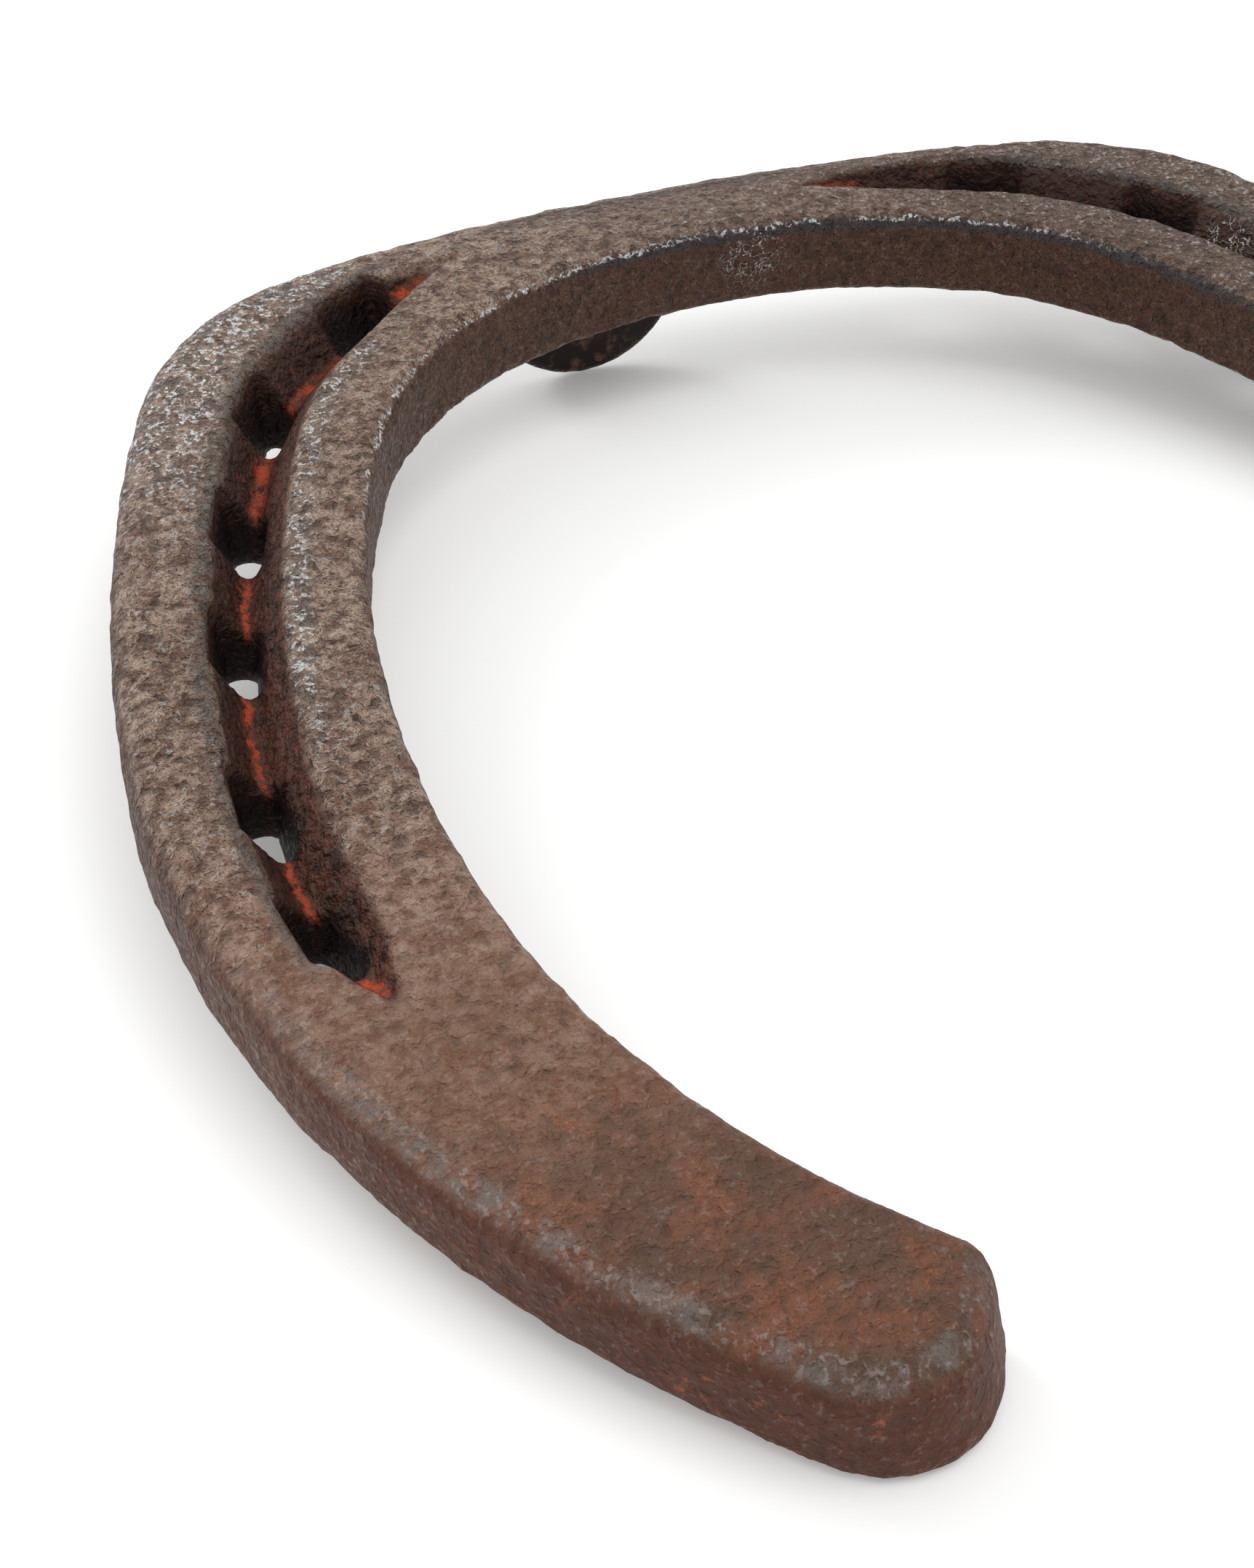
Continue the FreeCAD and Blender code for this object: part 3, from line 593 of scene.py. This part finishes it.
CLIP_BROWN_BLOTCHES = (0.50, 0.68)
CLIP_RIM_GRAIN = (0.48, 0.62)
CLIP_GLOSS_GRAIN = (0.3, 0.7)
CLIP_ROUGHNESS = (0.6, 0.42)
CLIP_GLOSS = 0.2
CLIP_GRAIN_HEIGHT = 0.10


def clip_steel():
    """Dark clip, smoother than the bar."""
    s = Surface("clip_dark")
    blotch = s.noise(wavelength=1.6, detail=5.0, roughness=0.6, distortion=0.3)
    grain = s.noise(wavelength=0.4, detail=4.0, roughness=0.65)
    colour = s.over(CLIP_DARK, BROWN_RUST, s.ease(blotch, *CLIP_BROWN_BLOTCHES), strength=0.6)
    rubbed = s.times(s.mark("rim"), s.ease(grain, *CLIP_RIM_GRAIN))
    s.colour(s.over(colour, WORN_AND_GLINT_GREY, rubbed, strength=0.5))
    s.roughness(s.ease(grain, *CLIP_GLOSS_GRAIN, *CLIP_ROUGHNESS))
    s.feed(s.shader.inputs["Specular IOR Level"], CLIP_GLOSS)
    s.feed(s.shader.inputs["Normal"], s.bump(grain, CLIP_GRAIN_HEIGHT))
    return s.material


# ------------------------------------------------------------------ the forged bar

BAR_VOXEL = 0.44
CRISP_ROUNDS = 2           # of smoothing: only the voxels' steps go
NEAR_ROUNDS = 8            # the rims soften
FAR_ROUNDS = 60            # the rims are worn away

# A pair of numbers is where a mark begins and where it is full: out from the crease's line, in
# depth or height and along x and y in millimetres, or round the plan in radians from the toe.
# The band along the crease's line has no lower end, so it takes in the hoof face under it.
CREASE_SIDES = (4.4, 3.2)
CREASE_RIM = (0.2, 0.9)
CREASE_HEEL_END = (-99.0, -94.0)
HEEL = (-92.0, -112.0)
BACK = (-60.0, -95.0)
WALL_STEEPNESS = (0.75, 0.35)    # of the surface's upward part

# Wear at the heels' outer edge on the hoof side
OUTER_SIDE = (3.0, 5.0)
HOOF_SIDE = (4.0, 2.0)
WORN_FROM = (-60.0, -100.0)
WORN_UNTIL = (-126.0, -116.0)
LEAST_WORN = 0.05
MOST_WORN = 0.45

# The outer shoulders' fuller curve
SHOULDER_AT = 0.76
SHOULDER_SPAN = 0.22
SHOULDER_OUT = 0.7
SHOULDER_SIDE = (1.0, 5.0)

# Unevenness: each kind's height and length in millimetres, from the longest to the shortest
SWELL = 0.12
SWELL_LENGTH = 14.0
LUMP = 0.12
LUMP_LENGTH = 2.4
PIT = 0.12
PIT_SPACING = 2.0
PIT_FIELDS = (-0.25, 0.35)       # in the waves that gather the pits into fields
PIT_FIELD_LENGTH = 6.0
BURR = 0.06
BURR_LENGTH = 1.5
FINE_BULGE = (0.03, 0.12)        # how sharp an edge is for burrs to stand on it
WORN_OFF = 0.04
HEEL_CALM = 0.5                  # share of the lumps and pits that the heels lack
CREASE_CALM = 0.7                # and the crease
CREASE_SMOOTH = 0.8              # share of all unevenness that the crease lacks

# Painted shade, near black, at the nail holes and under the crease's floor
HOLLOW_REACH = (4.4, 2.8)
HOLLOW_DEPTH = (1.2, 2.8)
HOLLOW_SIDE = (-1.8, -0.4)
BELOW_CREASE = (3.7, 4.5)

# Scratches at the toe's inner rim and beside the right crease
INNER_SCRATCHES = (4.5, -12.9, 4.8)
LIP_SCRATCHES = 0.45             # share of the way from the second right hole to the third
LIP_SCRATCH_DEPTH = 2.0
SCRATCH_REACH = (4.0, 1.2)

# The crease's thick orange stretches, and how its orange fades towards the right branch
FRONT = (1.25, 0.85)
CREASE_END = (-84.0, -88.0)
LEFT_SIDE = (30.0, 5.0)
LEAST_LEFT = 0.3

# Browner steel at the toe and on top of the right branch
TOE = (-44.0, -18.0)
TOE_SIDE = (-26.0, 0.0)
TOE_DARK = 0.6
RIGHT_TOP = (4.0, 28.0)
RIGHT_END = (-80.0, -50.0)

# The crease's dark outer lip, and the toe's inner rim with a painted highlight line along it and soot
# and painted shade under it
CREASE_ENDS = (0.42, 1.90)
CREASE_FADE = 0.1
LIP_IN = (2.4, 2.9)
LIP_OUT = (4.3, 3.7)
LIP_DEPTH = (0.9, 0.3)
INNER_RIM = (-3.5, -4.5)
INNER_RIM_END = (1.25, 0.95)
RIM_SIDE = (40.0, 20.0)
SOOT_AND_SHADE_SIDE = (-20.0, -8.0)

# Steel rubbed bare, partly painted sheen, and painted glints: the crease's inner lip, the shoulders'
# outer roll, and the heels' ridge
INNER_LIP_AT = 3.7               # inside the crease's line
INNER_LIP_SPAN = (1.4, 0.4)
INNER_LIP_DEPTH = (1.0, 0.4)
INNER_LIP_FROM = (0.55, 0.75)
INNER_LIP_UNTIL = (1.75, 1.45)
INNER_LIP_RUBBED = 0.9
ROLL_DEPTH = (5.0, 2.0)
ROLL_SIDE = (3.4, 5.2)
ROLL_FROM = (0.45, 0.6)
ROLL_UNTIL = (1.25, 0.95)
RUBBED_SIDE = (20.0, -10.0)
LEAST_RUBBED = 0.15
RIDGE_TOP = (0.995, 0.95)        # of the surface's upward part
RIDGE_FOOT = (0.45, 0.75)
RIDGE_SIDE = (4.0, 5.5)
RIDGE_HEEL = (-117.0, -123.0)
RIDGE_FROM = (-76.0, -96.0)


def make_bar():
    """The bar, worn round at its rims and uneven all over, as forging, wear and rust leave it."""
    mesh = finely_meshed("shoe_bar", BAR_VOXEL)
    points = points_of(mesh)
    edges = edges_of(mesh)
    crisp = smoothed(points, edges, CRISP_ROUNDS)
    near = smoothed(crisp, edges, NEAR_ROUNDS)
    far = smoothed(near, edges, FAR_ROUNDS)
    set_points(mesh, near)
    out = normals_of(mesh)

    y = points[:, 1]
    depth = THICKNESS - points[:, 2]
    beside = beside_crease(points)
    heel = ease(y, *HEEL)
    in_crease = ease(np.abs(beside), *CREASE_SIDES) * ease(depth, *CREASE_RIM)
    in_crease *= ease(y, *CREASE_HEEL_END)
    fine_bulge = ((crisp - near) * out).sum(axis=1)

    shape = crisp + wear(points, beside, in_crease)[:, None] * (far - crisp)
    shape[:, :2] += shoulder_push(points, beside)
    height = unevenness(points, heel, in_crease, fine_bulge)
    shape += out * (height * (1.0 - CREASE_SMOOTH * in_crease))[:, None]

    mark_bar(mesh, points, out, beside, depth, heel, in_crease)
    set_points(mesh, kept_in_box(from_shoe(shape), "shoe_bar"))
    return make_piece("bar_forged", mesh, "shoe_bar", bar_steel())


def wear(points, beside, in_crease):
    """How far wear has rounded each point: little, but more on the heels' outer hoof side, and
    not at all in the crease."""
    _, y, z = points.T
    hoof_side = ease(beside, *OUTER_SIDE) * ease(z, *HOOF_SIDE)
    worn = LEAST_WORN + MOST_WORN * hoof_side * ease(y, *WORN_FROM) * ease(y, *WORN_UNTIL)
    return worn * (1.0 - in_crease)


def shoulder_push(points, beside):
    """How far each point moves out in the plan, to give the outer shoulders a fuller curve."""
    angle, _ = around(points)
    shoulder = np.exp(-((angle - SHOULDER_AT) / SHOULDER_SPAN) ** 2) * ease(beside, *SHOULDER_SIDE)
    away = points[:, :2] - PLAN_MIDDLE
    return (SHOULDER_OUT * shoulder)[:, None] * away / np.linalg.norm(away, axis=1)[:, None]


def unevenness(points, heel, in_crease, fine_bulge):
    """The height of the forging's waves, lumps and pits at each point."""
    lively = (1.0 - HEEL_CALM * heel) * (1.0 - CREASE_CALM * in_crease)
    sharp = (1.0 - in_crease) * ease(fine_bulge, *FINE_BULGE)
    height = SWELL * wavy(points, SWELL_LENGTH, octaves=2, seed=1)
    height += LUMP * lively * wavy(points, LUMP_LENGTH, octaves=4, seed=2)
    pits = PIT * lively * pitted(points, PIT_SPACING, seed=3)
    height -= pits * ease(wavy(points, PIT_FIELD_LENGTH, octaves=2, seed=4), *PIT_FIELDS)
    height += BURR * sharp * wavy(points, BURR_LENGTH, octaves=3, seed=5)
    height -= WORN_OFF * (1.0 - heel)
    return height


def mark_bar(mesh, points, out, beside, depth, heel, in_crease):
    """Marks where the bar's colour changes, and where shade and glints are painted on it."""
    x, y, _ = points.T
    angle, _ = around(points)
    reach = np.min([np.hypot(x - hole[0], y - hole[1]) for hole in hole_places()], axis=0)
    hole_shade = ease(reach, *HOLLOW_REACH) * ease(depth, *HOLLOW_DEPTH) * ease(beside, *HOLLOW_SIDE)
    mark(mesh, "hole_shade", np.maximum(hole_shade, ease(depth, *BELOW_CREASE)))
    mark(mesh, "scratched", scratches(points))
    mark(mesh, "beside", beside)
    mark(mesh, "depth", depth)
    mark(mesh, "heel", heel)
    mark(mesh, "back", ease(y, *BACK))
    mark(mesh, "front", np.maximum(ease(angle, *FRONT), ease(y, *CREASE_END)))
    mark(mesh, "left", ease(x, *LEFT_SIDE, LEAST_LEFT))
    at_toe = TOE_DARK * ease(y, *TOE) * ease(x, *TOE_SIDE)
    mark(mesh, "toe", np.maximum(at_toe, ease(x, *RIGHT_TOP) * ease(y, *RIGHT_END)))
    mark(mesh, "wall", ease(np.abs(out[:, 2]), *WALL_STEEPNESS) * (1.0 - in_crease))
    mark(mesh, "crease", in_crease)
    first, last = CREASE_ENDS
    creased = ease(angle, first, first + CREASE_FADE) * ease(angle, last + CREASE_FADE, last)
    mark(mesh, "lip", creased * ease(beside, *LIP_IN) * ease(beside, *LIP_OUT) * ease(depth, *LIP_DEPTH))
    inner_rim = ease(beside, *INNER_RIM) * ease(angle, *INNER_RIM_END)
    mark(mesh, "rim", inner_rim * ease(x, *RIM_SIDE))
    mark(mesh, "soot_and_shade", inner_rim * ease(x, *SOOT_AND_SHADE_SIDE))
    mark(mesh, "scuff_and_glint", scuffs_and_glints(points, out, beside, depth, angle) * (1.0 - in_crease))


def scratches(points):
    """1 where the bar is scratched."""
    second, third = hole_places("right")[1:3]
    beside_holes = (1.0 - LIP_SCRATCHES) * second + LIP_SCRATCHES * third
    middles = np.array((INNER_SCRATCHES, (*beside_holes[:2], THICKNESS - LIP_SCRATCH_DEPTH)))
    return np.max([ease(np.linalg.norm(points - middle, axis=1), *SCRATCH_REACH)
                   for middle in middles], axis=0)


def scuffs_and_glints(points, out, beside, depth, angle):
    """1 where the steel is rubbed bare and where sheen and glints are painted on it."""
    x, y, _ = points.T
    inner_lip = ease(np.abs(beside + INNER_LIP_AT), *INNER_LIP_SPAN) * ease(depth, *INNER_LIP_DEPTH)
    inner_lip *= ease(angle, *INNER_LIP_FROM) * ease(angle, *INNER_LIP_UNTIL)
    roll = ease(depth, *ROLL_DEPTH) * ease(beside, *ROLL_SIDE)
    roll *= ease(angle, *ROLL_FROM) * ease(angle, *ROLL_UNTIL)
    rubbed = np.maximum(INNER_LIP_RUBBED * inner_lip, roll) * ease(x, *RUBBED_SIDE, LEAST_RUBBED)
    ridge = ease(out[:, 2], *RIDGE_TOP) * ease(out[:, 2], *RIDGE_FOOT)
    ridge *= np.maximum(ease(beside, *RIDGE_SIDE), ease(y, *RIDGE_HEEL)) * ease(y, *RIDGE_FROM)
    return np.maximum(rubbed, ridge)


# ------------------------------------------------------------------ the forged clip

CLIP_VOXEL = 0.26
CLIP_NEAR_ROUNDS = 8
CLIP_FAR_ROUNDS = 30
CLIP_WORN = 0.3
CLIP_RIM_BULGE = (0.08, 0.3)
HAMMER_MARK = 0.06
HAMMER_LENGTH = 3.5
CLIP_LUMP = 0.03
CLIP_LUMP_LENGTH = 1.1
CLIP_WORN_OFF = 0.04


def make_clip():
    """The toe clip, with softened edges and faint hammer marks."""
    mesh = finely_meshed("toe_clip", CLIP_VOXEL)
    points = points_of(mesh)
    edges = edges_of(mesh)
    near = smoothed(points, edges, CLIP_NEAR_ROUNDS)
    far = smoothed(near, edges, CLIP_FAR_ROUNDS)
    set_points(mesh, near)
    out = normals_of(mesh)
    bulge = ((near - far) * out).sum(axis=1)
    shape = near + CLIP_WORN * (far - near)
    height = HAMMER_MARK * wavy(points, HAMMER_LENGTH, octaves=3, seed=7)
    height += CLIP_LUMP * wavy(points, CLIP_LUMP_LENGTH, octaves=3, seed=8)
    height -= CLIP_WORN_OFF
    shape += out * height[:, None]
    mark(mesh, "rim", ease(bulge, *CLIP_RIM_BULGE))
    set_points(mesh, kept_in_box(from_shoe(shape), "toe_clip"))
    return make_piece("clip_forged", mesh, "toe_clip", clip_steel())


make_camera()
make_studio()
make_bar()
make_clip()
